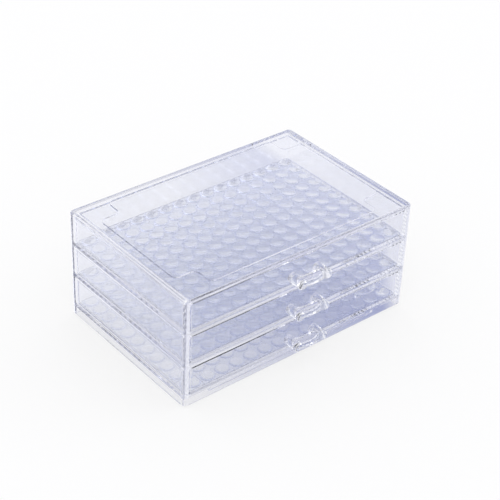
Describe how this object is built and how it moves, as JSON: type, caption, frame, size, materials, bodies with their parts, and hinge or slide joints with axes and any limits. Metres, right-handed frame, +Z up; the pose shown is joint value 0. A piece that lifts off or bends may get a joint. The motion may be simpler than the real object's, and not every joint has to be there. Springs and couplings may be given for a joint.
{
  "type": "manicure storage box",
  "caption": "Clear lavender plastic desk box with stacked sliding drawers, a bubble mat on each drawer floor, post-and-bar pulls and a notched raised top.",
  "frame": {"origin": "on the plane that the box stands on, at the middle of the closed box, handles included", "axes": "+X towards the right end seen from the front, +Y towards the back, +Z up; the drawers open towards -Y"},
  "size_m": [0.217, 0.159, 0.095],
  "materials": {
    "clear_casing": "clear, pale lavender, glossy",
    "clear_drawer": "clear, pale lavender, glossy",
    "clear_mat": "clear, pale lavender, glossy and soft",
    "clear_handle": "clear, pale lavender, glossy"
  },
  "bodies": {
    "casing": {"casing": "clear_casing"},
    "drawer_bottom": {"drawer_bottom": "clear_drawer", "bubble_mat_bottom": "clear_mat", "handle_bottom": "clear_handle"},
    "drawer_middle": {"drawer_middle": "clear_drawer", "bubble_mat_middle": "clear_mat", "handle_middle": "clear_handle"},
    "drawer_top": {"drawer_top": "clear_drawer", "bubble_mat_top": "clear_mat", "handle_top": "clear_handle"}
  },
  "joints": [
    {"name": "drawer_bottom_slide", "type": "slide", "parent": "casing", "child": "drawer_bottom", "axis": [0, -1, 0], "range_m": [0, 0.11]},
    {"name": "drawer_middle_slide", "type": "slide", "parent": "casing", "child": "drawer_middle", "axis": [0, -1, 0], "range_m": [0, 0.11]},
    {"name": "drawer_top_slide", "type": "slide", "parent": "casing", "child": "drawer_top", "axis": [0, -1, 0], "range_m": [0, 0.11]}
  ]
}
